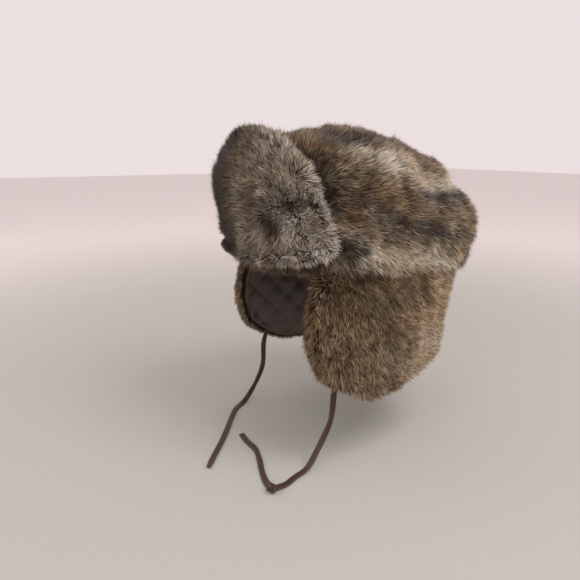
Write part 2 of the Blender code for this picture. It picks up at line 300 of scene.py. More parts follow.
# The overhand knot: the thong crosses itself three times, like a trefoil pulled tight.
KNOT_PLACE = np.array((0.099, -0.141, TABLE_HEIGHT + 0.0052))
turns = np.linspace(0.0, 2.0 * math.pi, 73)
knot_path = np.stack([
    np.sin(turns) + 2.0 * np.sin(2.0 * turns),
    np.cos(turns) - 2.0 * np.cos(2.0 * turns),
    -1.5 * np.sin(3.0 * turns),
], axis=1)
bpy.ops.object.select_all(action="DESELECT")
knot_curve = bpy.data.curves.new("left_tie_knot_thong", "CURVE")
knot_curve.dimensions = "3D"
knot_curve.bevel_depth = 0.00165
knot_curve.bevel_resolution = 3
spline = knot_curve.splines.new("POLY")
spline.points.add(len(turns) - 2)
for point, place in zip(spline.points, knot_path[:-1]):
    point.co = (*(KNOT_PLACE + place * np.array((0.00115, 0.00115, 0.00130))), 1.0)
spline.use_cyclic_u = True
knot_curve_object = bpy.data.objects.new("left_tie_knot_thong", knot_curve)
scene.collection.objects.link(knot_curve_object)
bpy.context.view_layer.objects.active = knot_curve_object
knot_curve_object.select_set(True)
bpy.ops.object.convert(target="MESH")
knot = bpy.context.object
knot.data.materials.append(leather)
knot.data.shade_smooth()

for piece, node, body in (
    (left_lace, "left_tie", "left_tie"),
    (tail_lace, "left_tie_tail", "left_tie"),
    (knot, "left_tie_knot", "left_tie"),
    (right_lace, "right_tie", "right_tie"),
):
    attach(piece, body)
    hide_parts(node)

# ---------------------------------------------------------------------------------------------
# Pelts: tanned rabbit skin sewn to its batting, with dense slate underfur close to the skin.
# Each is the outer shape of its layer with the corners rounded by the turned edge, and it holds
# the roots of the guard hair, which lies in locks and is banded dark, pale and dark.
# ---------------------------------------------------------------------------------------------


def underfur():
    """Dense woolly underfur: dark slate brown, matt, seen only deep between the guard hairs."""
    made, shader = new_material("slate_underfur")
    place = add_node(made, "ShaderNodeTexCoord").outputs["Object"]
    fine = add_node(
        made, "ShaderNodeTexNoise", values={"Scale": 900.0, "Detail": 3.0}, links={"Vector": place}
    ).outputs["Fac"]
    colour = add_node(
        made, "ShaderNodeMix", {"data_type": "RGBA"},
        {"A": linear("#150D08"), "B": linear("#3C2C20")}, {"Factor": fine},
    ).outputs["Result"]
    made.node_tree.links.new(colour, shader.inputs["Base Color"])
    shader.inputs["Roughness"].default_value = 0.95
    shader.inputs["Specular IOR Level"].default_value = 0.1
    return made


underfur_look = underfur()
MOST_HAIRS = 65900


def waves(places, size, seed):
    """Smooth noise from -1 to 1 in three components, with lumps of about this size."""
    rng = np.random.default_rng(seed)
    total = np.zeros((len(places), 3))
    for _ in range(7):
        direction = rng.normal(size=3)
        direction *= 2.0 * math.pi / (size * rng.uniform(0.8, 1.6)) / np.linalg.norm(direction)
        phase = rng.uniform(0.0, 2.0 * math.pi, 3)
        total += np.sin((places @ direction)[:, None] + phase)
    return total / 3.2


def fade(values, start, end):
    """0 before start, 1 past end, smooth between."""
    t = np.clip((values - start) / (end - start), 0.0, 1.0)
    return t * t * (3.0 - 2.0 * t)


def near(roots, line, reach):
    """1 on a line through these points on the wearer's left or its mirror, 0 well away from it."""
    places = np.abs(roots * (1.0, 0.0, 0.0)) + roots * (0.0, 1.0, 1.0)
    closest = np.full(len(roots), np.inf)
    if len(line) == 1:
        line = (line[0], line[0])
    for first, second in zip(line, line[1:]):
        first, second = np.array(first), np.array(second)
        run = second - first
        share = np.clip((places - first) @ run / max(run @ run, 1e-12), 0.0, 1.0)
        gap = np.linalg.norm(places - first - share[:, None] * run, axis=1)
        closest = np.minimum(closest, gap)
    ragged = reach * (1.0 + 0.35 * waves(roots, 0.014, 5)[:, 0])
    return np.exp(-((closest / ragged) ** 2))


def mesh_arrays(mesh):
    """Vertex places and normals, and triangles, as arrays."""
    mesh.calc_loop_triangles()
    places = np.empty(len(mesh.vertices) * 3)
    mesh.vertices.foreach_get("co", places)
    normals = np.empty(len(mesh.vertices) * 3)
    mesh.vertex_normals.foreach_get("vector", normals)
    corners = np.empty(len(mesh.loop_triangles) * 3, dtype=np.int64)
    mesh.loop_triangles.foreach_get("vertices", corners)
    return places.reshape(-1, 3), normals.reshape(-1, 3), corners.reshape(-1, 3)


def copy_nodes(name, nodes):
    """A new object of the given layers' shapes, joined and welded."""
    bpy.ops.object.select_all(action="DESELECT")
    copies = []
    for node in nodes:
        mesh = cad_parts[node].data.copy()
        mesh.materials.clear()
        copy = bpy.data.objects.new(name, mesh)
        scene.collection.objects.link(copy)
        copy.select_set(True)
        copies.append(copy)
    bpy.context.view_layer.objects.active = copies[0]
    if len(copies) > 1:
        bpy.ops.object.join()
    made = bpy.context.view_layer.objects.active
    made.name = name
    made.data.name = name
    bpy.ops.object.mode_set(mode="EDIT")
    bpy.ops.mesh.select_all(action="SELECT")
    bpy.ops.mesh.remove_doubles(threshold=0.00001)
    bpy.ops.object.mode_set(mode="OBJECT")
    return made


def make_pelt(name, nodes, body, outside, puff=0.0025, shrink=0.003, draw_in=None):
    """A rounded solid around the given layers, with its outer face moved in to the hair roots;
    outside gives the way that face looks at each place."""
    made = copy_nodes(name, nodes)
    for kind, settings in (
        ("REMESH", {"mode": "VOXEL", "voxel_size": 0.003}),
        ("SMOOTH", {"factor": 0.5, "iterations": 4}),
    ):
        modifier = made.modifiers.new(kind.lower(), kind)
        for key, value in settings.items():
            setattr(modifier, key, value)
        bpy.ops.object.modifier_apply(modifier=modifier.name)
    places, normals, _ = mesh_arrays(made.data)
    lumps = waves(places, 0.055, 7)[:, 0] + 0.5 * waves(places, 0.028, 8)[:, 0]
    facing = np.clip((normals * outside(places)).sum(1), 0.0, 1.0)
    places = places + normals * (facing * (puff * lumps - shrink) + 0.0008 * (1.0 - facing))[:, None]
    if draw_in:
        places = places + draw_in(places, normals)
    made.data.vertices.foreach_set("co", places.ravel())
    made.data.update()
    made.data.shade_smooth()
    made.data.materials.append(underfur_look)
    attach(made, body)
    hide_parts(*nodes)
    return made


def hair_look(name, root_hex, grey_hex, tan_hex, ginger_hex, tip_hex):
    """Agouti guard hair: a dark shaft with a pale band below a dark tip. The band is grey, tan or
    ginger by place, and paler or darker from hair to hair."""
    made, shader = new_material(name)
    along = add_node(made, "ShaderNodeAttribute", {"attribute_name": "along"}).outputs["Fac"]
    pale = add_node(made, "ShaderNodeAttribute", {"attribute_name": "pale"}).outputs["Fac"]
    warm = add_node(made, "ShaderNodeAttribute", {"attribute_name": "warm"}).outputs["Fac"]
    red = add_node(made, "ShaderNodeAttribute", {"attribute_name": "ginger"}).outputs["Fac"]
    band = add_node(
        made, "ShaderNodeMapRange", {"interpolation_type": "SMOOTHSTEP"},
        {"From Min": 0.30, "From Max": 0.66}, {"Value": along},
    ).outputs["Result"]
    amount = add_node(
        made, "ShaderNodeMath", {"operation": "MULTIPLY"}, links={0: band, 1: pale}
    ).outputs["Value"]
    shade = add_node(
        made, "ShaderNodeMix", {"data_type": "RGBA"},
        {"A": linear(grey_hex), "B": linear(tan_hex)}, {"Factor": warm},
    ).outputs["Result"]
    shade = add_node(
        made, "ShaderNodeMix", {"data_type": "RGBA"}, {"B": linear(ginger_hex)},
        {"Factor": red, "A": shade},
    ).outputs["Result"]
    colour = add_node(
        made, "ShaderNodeMix", {"data_type": "RGBA"}, {"A": linear(root_hex)},
        {"Factor": amount, "B": shade},
    ).outputs["Result"]
    point = add_node(
        made, "ShaderNodeMapRange", {"interpolation_type": "SMOOTHSTEP"},
        {"From Min": 0.88, "From Max": 1.0, "To Max": 0.45}, {"Value": along},
    ).outputs["Result"]
    colour = add_node(
        made, "ShaderNodeMix", {"data_type": "RGBA"}, {"B": linear(tip_hex)},
        {"Factor": point, "A": colour},
    ).outputs["Result"]
    made.node_tree.links.new(colour, shader.inputs["Base Color"])
    shader.inputs["Roughness"].default_value = 0.55
    shader.inputs["Specular IOR Level"].default_value = 0.35
    return made


def grow_hair(name, pelt, look, body, flow, shades, bare, seed, density=3.4,
              length=0.0148, width=0.00056, rise=(63.0, 31.0), clump=0.66, lock=17, trim=None):
    """Guard hair on a pelt, in locks of this many, each hair a thin tapered blade bent once.

    flow gives each root's lie, shades the (pale, warm, ginger) values where its tip comes, bare
    says which roots grow nothing and trim how much of its length a hair keeps.
    """
    rng = np.random.default_rng(seed)
    places, normals, corners = mesh_arrays(pelt.data)
    a, b, c = (places[corners[:, k]] for k in range(3))
    areas = 0.5 * np.linalg.norm(np.cross(b - a, c - a), axis=1)
    count = int(areas.sum() * 1e6 * density)
    chosen = rng.choice(len(areas), size=count, p=areas / areas.sum())
    u, v = rng.random(count), rng.random(count)
    flip = u + v > 1.0
    u[flip], v[flip] = 1.0 - u[flip], 1.0 - v[flip]
    weights = np.stack([1.0 - u - v, u, v], axis=1)[:, :, None]
    roots = (places[corners[chosen]] * weights).sum(1)
    outward = (normals[corners[chosen]] * weights).sum(1)
    outward /= np.linalg.norm(outward, axis=1)[:, None]
    keep = ~bare(roots, outward)
    roots, outward = roots[keep][:MOST_HAIRS], outward[keep][:MOST_HAIRS]
    count = len(roots)

    lie = flow(roots, outward) + 0.30 * waves(roots, 0.030, seed + 1)
    lie += 0.20 * waves(roots, 0.011, seed + 5) + 0.28 * rng.normal(size=(count, 3))
    lie -= (lie * outward).sum(1)[:, None] * outward
    lie /= np.linalg.norm(lie, axis=1)[:, None] + 1e-9
    tufts = waves(roots, 0.012, seed + 2)[:, 0]
    start = np.radians(rise[0] + 9.0 * rng.normal(size=count) + 5.0 * tufts)
    end = np.radians(rise[1] + 13.0 * rng.normal(size=count) + 10.0 * tufts)
    size = length * (1.0 + 0.15 * rng.normal(size=count) + 0.10 * waves(roots, 0.035, seed + 3)[:, 0])
    size = np.clip(size, 0.4 * length, 1.3 * length)
    size = size * np.where(rng.random(count) < 0.04, 1.25, 1.0)
    if trim:
        size = size * trim(roots, outward)
    sway = np.cross(outward, lie) * (0.30 * rng.normal(size=count))[:, None]
    joints = [roots]
    for k in range(2):
        share = (k + 0.5) / 2.0
        angle = start + (end - start) * share
        step = np.sin(angle)[:, None] * outward + np.cos(angle)[:, None] * lie + sway * share
        step /= np.linalg.norm(step, axis=1)[:, None]
        joints.append(joints[-1] + step * (size / 2.0)[:, None])

    leaders = np.arange(0, count, lock)
    tree = KDTree(len(leaders))
    for k, leader in enumerate(leaders):
        tree.insert(roots[leader], k)
    tree.balance()
    head = leaders[np.array([tree.find(root)[1] for root in roots])]
    offset = roots - roots[head]
    hold = clump * rng.uniform(0.2, 1.0, count)[:, None]
    for k in range(1, 3):
        share = k / 2.0
        pulled = joints[k][head] + offset * (1.0 - 0.7 * share**1.4)
        joints[k] = joints[k] + (pulled - joints[k]) * hold * share

    axis = joints[2] - joints[0]
    axis /= np.linalg.norm(axis, axis=1)[:, None] + 1e-9
    side = np.cross(axis, outward)
    side /= np.linalg.norm(side, axis=1)[:, None] + 1e-9
    turn = np.radians(rng.uniform(-55.0, 55.0, count))[:, None]
    side = side * np.cos(turn) + np.cross(axis, side) * np.sin(turn)
    breadth = width * rng.uniform(0.6, 1.25, count)[:, None]
    rows = []
    for k, share in enumerate((0.8, 1.0)):
        rows.append(joints[k] - 0.5 * share * breadth * side)
        rows.append(joints[k] + 0.5 * share * breadth * side)
    rows.append(joints[2])
    vertices = np.stack(rows, axis=1).reshape(-1, 3)
    pattern = np.array([(0, 1, 3), (0, 3, 2), (2, 3, 4)])
    faces = (np.arange(count)[:, None, None] * 5 + pattern).reshape(-1, 3)
    mesh = bpy.data.meshes.new(name)
    mesh.from_pydata(vertices, [], faces)
    mesh.shade_smooth()

    # Hairs differ much more from each other than places do: many stay nearly dark, except where
    # the pelt is cream.
    pale, warm, ginger = shades(joints[2])
    fine = rng.random(count)
    pale = pale * np.where(fine < 0.46 - 0.28 * pale, 0.06 + fine, 0.95 + 0.95 * fine)
    pale = pale * rng.uniform(0.45, 1.45, count)[head]
    for key, values in {"pale": pale, "warm": warm, "ginger": ginger}.items():
        attribute = mesh.attributes.new(key, "FLOAT", "POINT")
        attribute.data.foreach_set("value", np.repeat(np.clip(values, 0.0, 1.0), 5))
    attribute = mesh.attributes.new("along", "FLOAT", "POINT")
    steps = np.array((0.0, 0.0, 0.5, 0.5, 1.0))
    attribute.data.foreach_set("value", np.tile(steps, count))

    # Each hair has its own upright strip in the UV map, in rows like a comb's teeth.
    columns = max(int(math.sqrt(count * 2.0)), 1)
    lines = math.ceil(count / columns)
    left = (np.arange(count) % columns) / columns
    bottom = (np.arange(count) // columns) / lines
    in_strip = np.array([(0.1, 0.05), (0.9, 0.05), (0.1, 0.50), (0.9, 0.50), (0.5, 0.95)])
    spots = np.stack([
        left[:, None] + in_strip[None, :, 0] / columns,
        bottom[:, None] + in_strip[None, :, 1] / lines,
    ], axis=2)
    strips = mesh.uv_layers.new(name="OFBake")
    strips.data.foreach_set("uv", spots[:, pattern.ravel()].ravel())
    mesh.materials.append(look)
    made = bpy.data.objects.new(name, mesh)
    scene.collection.objects.link(made)
    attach(made, body)
    return made


# ---------------------------------------------------------------------------------------------
# Crown: three pelts, two sides and a strip over the top, sewn over one shell of batting. The
# hair lies back and down. Cream runs along the upper sides and the lower edge, ginger shows at
# the brow, and slate-grey streaks cross the sides towards the back. A painted shadow darkens the
# hair just behind the visor's top and side edges.
# ---------------------------------------------------------------------------------------------
crown_look = hair_look(
    "brown_agouti_hair", "#26170D", "#E0D6C4", "#B89A74", "#B07C46", "#3E2C1E"
)


def from_crown_middle(places):
    away = places - (0.0, 0.0, 0.020)
    return away / np.linalg.norm(away, axis=1)[:, None]


def crown_flow(roots, outward):
    top = fade(outward[:, 2], 0.35, 0.9)
    behind = fade(outward[:, 1], 0.35, 0.9)
    low = fade(0.040 - roots[:, 2], 0.0, 0.040)
    return np.stack([
        0.10 * np.sign(roots[:, 0]) * (1.0 - top),
        0.9 - 0.7 * behind - 0.3 * low,
        -0.40 - 0.9 * behind - 0.55 * low + 0.4 * top,
    ], axis=1)


def crown_shades(roots):
    mottle = waves(roots, 0.030, 40)
    patchy = waves(roots, 0.014, 41)[:, 0]
    cream = near(roots, ((0.069, -0.033, 0.109), (0.084, -0.001, 0.098), (0.088, 0.019, 0.089),
                         (0.085, 0.061, 0.078), (0.040, 0.105, 0.070)), 0.0125)
    cream = np.maximum(cream, near(roots, ((0.072, -0.004, 0.109), (0.081, 0.050, 0.089)), 0.009))
    hem = near(roots, ((0.102, -0.034, 0.018), (0.103, -0.011, 0.010), (0.102, 0.030, 0.004),
                       (0.094, 0.065, 0.000)), 0.0130)
    hem = np.maximum(hem, 0.7 * near(roots, ((0.096, -0.064, 0.042), (0.101, -0.040, 0.028)), 0.008))
    brow = near(roots, ((0.022, -0.070, 0.117), (0.040, -0.066, 0.114), (0.057, -0.060, 0.109)),
                0.0070)
    # The first dark line, just behind the visor's top edge, is painted shade where the visor meets the
    # crown. The loop below adds slate-grey streaks and one more painted shadow.
    dark = near(roots, ((0.000, -0.078, 0.108), (0.026, -0.080, 0.108), (0.041, -0.082, 0.102),
                        (0.067, -0.080, 0.088), (0.086, -0.070, 0.060)), 0.008)
    for line, reach in (
        (((0.075, -0.021, 0.105),), 0.006),
        (((0.096, 0.026, 0.069), (0.088, 0.066, 0.067), (0.055, 0.110, 0.062)), 0.0075),
        (((0.100, -0.023, 0.054), (0.103, 0.004, 0.043), (0.101, 0.037, 0.033),
          (0.094, 0.066, 0.025)), 0.0070),
        # Painted shadow on the crown just behind the visor's side end, continuing the one along its
        # top edge.
        (((0.092, -0.067, 0.030), (0.097, -0.056, 0.024), (0.101, -0.044, 0.018)), 0.0080),
        (((0.030, -0.037, 0.127), (0.052, -0.034, 0.117), (0.045, 0.000, 0.124)), 0.013),
    ):
        dark = np.maximum(dark, near(roots, line, reach))
    back = fade(roots[:, 1], 0.02, 0.09)
    front = fade(-0.035 - roots[:, 1], 0.0, 0.035)
    pale = 0.34 + 0.11 * mottle[:, 0] + 0.08 * patchy - 0.02 * back - 0.08 * front
    pale = pale + 0.74 * cream + 0.70 * hem + 0.26 * brow
    pale = pale * (1.0 - 0.88 * dark)
    warm = 0.80 + 0.2 * mottle[:, 2] - 0.55 * cream - 0.50 * hem - 0.6 * dark
    return pale, warm, brow


def crown_draw_in(places, normals):
    """The top sinks a little behind the middle, where nothing fills it, and bulges below that."""
    sunk = fade(places[:, 1], -0.02, 0.05) * fade(places[:, 2], 0.050, 0.085)
    full = fade(places[:, 1], 0.03, 0.09) * np.exp(-(((places[:, 2] - 0.026) / 0.020) ** 2))
    tuft = near(places, ((0.022, -0.066, 0.112), (0.040, -0.060, 0.110)), 0.014)
    high = fade(places[:, 2], 0.100, 0.120) * fade(places[:, 1], -0.05, 0.0)
    return (
        0.0045 * full - 0.0060 * sunk - 0.0015 * high + 0.0035 * tuft
    )[:, None] * from_crown_middle(places)


def crown_trim(roots, outward):
    """Clipped shorter over the top and the back, as on a worn pelt."""
    return 1.0 - 0.22 * fade(roots[:, 1], -0.03, 0.05) * fade(roots[:, 2], 0.04, 0.08)


def crown_bare(roots, outward):
    inner = roots[:, 0] * outward[:, 0] + roots[:, 1] * outward[:, 1]
    return inner + (roots[:, 2] - 0.02) * outward[:, 2] < 0.0


for panel in ("left", "right", "centre"):
    pelt = make_pelt("crown_pelt_" + panel, ["crown_fur_" + panel], "crown",
                     from_crown_middle, draw_in=crown_draw_in)
    grow_hair(
        "crown_guard_hair_" + panel, pelt, crown_look, "crown", crown_flow,
        crown_shades, crown_bare, {"left": 11, "right": 12, "centre": 13}[panel],
        trim=crown_trim,
    )

# ---------------------------------------------------------------------------------------------
# Visor: a silver-grey pelt on stiff interfacing, turned up against the brow. Its hair parts near
# its left end and lies outwards to every edge; two small partings show the dark underfur. Shade is
# painted into the hair over its far end.
# ---------------------------------------------------------------------------------------------
visor_look = hair_look(
    "silver_agouti_hair", "#271C14", "#DCD4C8", "#B69E7C", "#A87746", "#40362D"
)
PARTING = np.array((0.066, -0.125, 0.056))


def from_axis(places):
    level = places * (1.0, 1.0, 0.0)
    return level / (np.linalg.norm(level, axis=1)[:, None] + 1e-9)


def visor_draw_in(places, normals):
    """The visor leans on the brow: its pelt is thinner low down and fuller near its top."""
    low = fade(0.085 - places[:, 2], 0.0, 0.065) * fade(-normals[:, 1], 0.0, 0.5)
    high = np.exp(-(((places[:, 2] - 0.082) / 0.022) ** 2)) * fade(0.02 - places[:, 0], 0.0, 0.04)
    shift = np.zeros_like(places)
    shift[:, 1] = 0.0100 * low - 0.0035 * high * fade(-normals[:, 1], 0.0, 0.5)
    end = fade(0.080 - places[:, 2], 0.0, 0.05) * fade(-places[:, 0], 0.03, 0.07)
    shift[:, 0] = 0.0080 * end * fade(-normals[:, 0], 0.0, 0.5)
    return shift


def visor_flow(roots, outward):
    away = roots - PARTING
    return away / (np.linalg.norm(away, axis=1)[:, None] + 0.030) + np.array((-0.10, 0.0, 0.05))


def visor_shades(roots):
    x, z = roots[:, 0], roots[:, 2]
    mottle = waves(roots, 0.035, 60)
    patchy = waves(roots, 0.014, 61)[:, 0]
    # far paints shade over the visor's far end, towards the wearer's right: its hair is made darker
    # and warmer there.
    far = fade(0.034 - x, 0.0, 0.052) * (1.0 - 0.4 * fade(-x, 0.06, 0.09))
    silver = fade(x, 0.045, 0.085)
    crest = fade(z, 0.095, 0.115) * fade(x, 0.03, 0.06)
    spot = np.exp(-((x - 0.077) ** 2 + 2.0 * (z - 0.066) ** 2) / 0.0100**2)
    spot = np.maximum(spot, np.exp(-((x - 0.060) ** 2 + (z - 0.046) ** 2) / 0.0105**2))
    pale = 0.36 + 0.11 * mottle[:, 0] + 0.09 * patchy + 0.32 * silver + 0.14 * crest
    pale = pale * (1.0 - spot) * (1.0 - 0.88 * far)
    warm = 0.72 + 0.2 * mottle[:, 1] + 0.10 * far - 0.47 * silver - 0.2 * crest
    return pale, warm, np.zeros(len(roots))


def visor_bare(roots, outward):
    return (from_axis(roots) * outward).sum(1) < -0.62


def visor_trim(roots, outward):
    """Clipped shorter along the top, at the lower edge and at the two partings."""
    top = fade(roots[:, 2], 0.098, 0.118)
    low = fade(0.035 - roots[:, 2], 0.0, 0.02)
    spot = np.exp(-((roots[:, 0] - 0.077) ** 2 + (roots[:, 2] - 0.066) ** 2) / 0.006**2)
    other = np.exp(-((roots[:, 0] - 0.060) ** 2 + (roots[:, 2] - 0.046) ** 2) / 0.006**2)
    far = low * fade(0.03 - roots[:, 0], 0.0, 0.03)
    return 1.0 - 0.20 * top - 0.25 * low - 0.35 * far - 0.45 * np.maximum(spot, other)


visor_pelt = make_pelt("visor_pelt", ["visor_interfacing", "visor_fur"], "visor",
                       from_axis, puff=0.0015, draw_in=visor_draw_in)
grow_hair("visor_guard_hair", visor_pelt, visor_look, "visor", visor_flow,
          visor_shades, visor_bare, 21, trim=visor_trim)

# ---------------------------------------------------------------------------------------------
# Ear flaps and neck flap: pelts over batting, hanging from the crown's edge. The ear flaps are
# dark brown with tan tips and turn paler to the back; the neck flap is tan and grey.
# ---------------------------------------------------------------------------------------------
flap_look = hair_look(
    "dark_agouti_hair", "#24140A", "#D6C8B0", "#C2A076", "#9A6A3C", "#362518"
)
neck_look = hair_look(
    "tan_agouti_hair", "#30221A", "#EAE2D4", "#D0BC9C", "#96683F", "#56483A"
)


def to_the_side(places):
    return np.sign(places[:, :1]) * (1.0, 0.0, 0.0)


def to_the_back(places):
    return np.ones((len(places), 1)) * (0.0, 1.0, 0.0)


def flap_flow(roots, outward):
    ends = (roots[:, 1] + 0.040) / 0.075
    return np.stack([
        0.15 * np.sign(roots[:, 0]), ends, -1.0 + 0.35 * np.abs(ends)
    ], axis=1)


def flap_shades(roots):
    y, z = roots[:, 1], roots[:, 2]
    mottle = waves(roots, 0.028, 80)
    patchy = waves(roots, 0.013, 81)[:, 0]
    rear = fade(y + 0.10 * np.clip(-z, 0.0, 0.12), 0.005, 0.055)
    low = fade(-z, 0.05, 0.11)
    apex = fade(0.0 - np.hypot(y + 0.050, z - 0.005), -0.045, 0.0)
    brown = near(roots, ((0.098, 0.027, -0.004), (0.095, 0.040, -0.040)), 0.008)
    # Two thin lines of painted shade along creases in the flap's fur: the hair there gets a darker
    # band.
    painted_crease_shade = near(roots, ((0.099, -0.030, -0.010), (0.101, -0.002, -0.036)), 0.0035)
    painted_crease_shade = np.maximum(painted_crease_shade, near(roots, ((0.104, -0.040, -0.068), (0.104, -0.012, -0.096)), 0.003))
    pale = 0.30 + 0.07 * mottle[:, 0] + 0.06 * patchy + 0.40 * rear + 0.09 * low - 0.14 * apex
    pale = pale * (1.0 - 0.75 * painted_crease_shade) * (1.0 - 0.45 * brown)
    warm = 0.88 + 0.2 * mottle[:, 1] - 0.20 * low - 0.30 * rear
    return pale, warm, 0.5 * brown


def flap_bare_left(roots, outward):
    return outward[:, 0] < -0.55


def flap_bare_right(roots, outward):
    return outward[:, 0] > 0.55


def flap_trim(roots, outward):
    """The fringe along the back and lower edges is shorter; the right flap is the more worn."""
    rear = fade(roots[:, 1], 0.02, 0.06)
    front = fade(-0.06 - roots[:, 1], 0.0, 0.03) * (roots[:, 0] < 0.0)
    low = fade(-0.075 - roots[:, 2], 0.0, 0.03) * (roots[:, 0] < 0.0)
    return 1.0 - 0.25 * rear - 0.35 * np.maximum(front, low)


for side, bare in (("left", flap_bare_left), ("right", flap_bare_right)):
    body = side + "_ear_flap"
    pelt = make_pelt(body + "_pelt", [body + "_batting", body + "_fur"], body,
                     to_the_side)
    grow_hair(body + "_guard_hair", pelt, flap_look, body, flap_flow, flap_shades,
              bare, 31 if side == "left" else 32, length=0.0120, lock=12, trim=flap_trim)


def neck_flow(roots, outward):
    return np.stack([
        12.0 * roots[:, 0], np.full(len(roots), 0.05), np.full(len(roots), -1.0)
    ], axis=1)


def neck_shades(roots):
    mottle = waves(roots, 0.030, 90)
    patchy = waves(roots, 0.013, 91)[:, 0]
    corner = fade(np.abs(roots[:, 0]), 0.030, 0.070)
    low = fade(-roots[:, 2], 0.0, 0.10)
    pale = 0.46 + 0.14 * mottle[:, 0] + 0.10 * patchy + 0.28 * corner + 0.08 * low
    warm = 0.70 + 0.25 * mottle[:, 1] - 0.25 * corner
    return pale, warm, np.zeros(len(roots))


def neck_draw_in(places, normals):
    """The flap hangs in towards the nape, so its pelt is thinner lower down."""
    shift = np.zeros_like(places)
    low = fade(-places[:, 2], 0.0, 0.055) * fade(normals[:, 1], 0.0, 0.6)
    shift[:, 1] = -0.004 * low
    return shift


def neck_trim(roots, outward):
    """Clipped shorter lower down, but fuller at the two sides, next to the ear flaps."""
    corner = fade(np.abs(roots[:, 0]), 0.035, 0.060)
    return 1.0 - (0.40 - 0.28 * corner) * fade(-roots[:, 2], 0.0, 0.05)


def neck_bare(roots, outward):
    return outward[:, 1] < -0.45


neck_pelt = make_pelt("neck_flap_pelt", ["neck_flap_batting", "neck_flap_fur"], "neck_flap",
                      to_the_back, draw_in=neck_draw_in)
grow_hair("neck_flap_guard_hair", neck_pelt, neck_look, "neck_flap", neck_flow,
          neck_shades, neck_bare, 41, trim=neck_trim)

# ---------------------------------------------------------------------------------------------
# Linings: dark brown polyester satin, quilted in diamonds of 30 mm on the batting by lines of
# lockstitch. The crown's is in two sides and a centre strip, each flap and the visor have one.
# ---------------------------------------------------------------------------------------------
DIAMOND = 0.030
PUFF = 0.0018


def quilted_satin():
    """Woven satin with a soft directional shine; the stitches are matt dashes 3 mm long."""
    made, shader = new_material("quilted_brown_satin")
    place = add_node(made, "ShaderNodeTexCoord").outputs["Object"]
    first = add_node(made, "ShaderNodeAttribute", {"attribute_name": "quilt_a"}).outputs["Fac"]
    second = add_node(made, "ShaderNodeAttribute", {"attribute_name": "quilt_b"}).outputs["Fac"]
    marks = []
    for across, along in ((first, second), (second, first)):
        gap = add_node(
            made, "ShaderNodeMath", {"operation": "PINGPONG"}, {1: 0.5}, {0: across}
        ).outputs["Value"]
        on_line = add_node(
            made, "ShaderNodeMath", {"operation": "LESS_THAN"}, {1: 0.016}, {0: gap}
        ).outputs["Value"]
        dash = add_node(
            made, "ShaderNodeMath", {"operation": "PINGPONG"}, {1: 0.05}, {0: along}
        ).outputs["Value"]
        stitch = add_node(
            made, "ShaderNodeMath", {"operation": "GREATER_THAN"}, {1: 0.014}, {0: dash}
        ).outputs["Value"]
        marks.append(add_node(
            made, "ShaderNodeMath", {"operation": "MULTIPLY"}, links={0: on_line, 1: stitch}
        ).outputs["Value"])
    thread = add_node(
        made, "ShaderNodeMath", {"operation": "MAXIMUM"}, links={0: marks[0], 1: marks[1]}
    ).outputs["Value"]
    slub = add_node(
        made, "ShaderNodeTexNoise", values={"Scale": 60.0, "Detail": 4.0}, links={"Vector": place}
    ).outputs["Fac"]
    cloth = add_node(
        made, "ShaderNodeMix", {"data_type": "RGBA"},
        {"A": linear("#2E231D"), "B": linear("#43342B")}, {"Factor": slub},
    ).outputs["Result"]
    colour = add_node(
        made, "ShaderNodeMix", {"data_type": "RGBA"}, {"B": linear("#6B5646")},
        {"Factor": thread, "A": cloth},
    ).outputs["Result"]
    weave = add_node(
        made, "ShaderNodeTexWave", {"bands_direction": "DIAGONAL"},
        {"Scale": 380.0, "Distortion": 1.0, "Detail": 1.0}, {"Vector": place},
    ).outputs["Fac"]
    raised = add_node(
        made, "ShaderNodeMath", {"operation": "MULTIPLY_ADD"}, {1: 4.0}, {0: thread, 2: weave}
    ).outputs["Value"]
    bump = add_node(
        made, "ShaderNodeBump", values={"Strength": 0.25, "Distance": 0.0002},
        links={"Height": raised},
    ).outputs["Normal"]
    rough = add_node(
        made, "ShaderNodeMapRange", values={"To Min": 0.32, "To Max": 0.60},
        links={"Value": thread},
    ).outputs["Result"]
    links = made.node_tree.links
    links.new(colour, shader.inputs["Base Color"])
    links.new(bump, shader.inputs["Normal"])
    links.new(rough, shader.inputs["Roughness"])
    shader.inputs["Specular IOR Level"].default_value = 0.6
    shader.inputs["Sheen Weight"].default_value = 0.35
    shader.inputs["Sheen Roughness"].default_value = 0.4
    return made


satin = quilted_satin()


def make_lining(name, node, body, chart, inward, puff=PUFF):
    """A quilted copy of a lining; chart gives each place's (u, v) on the cloth in metres."""
    made = copy_nodes(name, [node])
    bpy.ops.object.mode_set(mode="EDIT")
    bpy.ops.mesh.select_all(action="SELECT")
    bpy.ops.mesh.tris_convert_to_quads()
    bpy.ops.mesh.subdivide(number_cuts=3)
    bpy.ops.mesh.vertices_smooth(factor=0.3, repeat=2)
    bpy.ops.object.mode_set(mode="OBJECT")
    places, _, _ = mesh_arrays(made.data)
    u, v = chart(places)
    first, second = (u + v) / DIAMOND, (u - v) / DIAMOND
    height = np.abs(np.sin(math.pi * first) * np.sin(math.pi * second)) ** 0.45
    creases = 0.0003 * waves(places, 0.012, 70)[:, 0] * (1.0 - height)
    places = places + inward(places) * (puff * (height - 0.35) + creases)[:, None]
    made.data.vertices.foreach_set("co", places.ravel())
    for key, values in (("quilt_a", first), ("quilt_b", second)):
        attribute = made.data.attributes.new(key, "FLOAT", "POINT")
        attribute.data.foreach_set("value", values)
    made.data.update()
    made.data.shade_smooth()
    made.data.materials.append(satin)
    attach(made, body)
    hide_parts(node)
    return made


def side_chart(places):
    return places[:, 1], 0.085 * np.arctan2(places[:, 2], np.abs(places[:, 0]))


def strip_chart(places):
    return places[:, 0], 0.105 * np.arctan2(places[:, 2] + 0.004, places[:, 1])


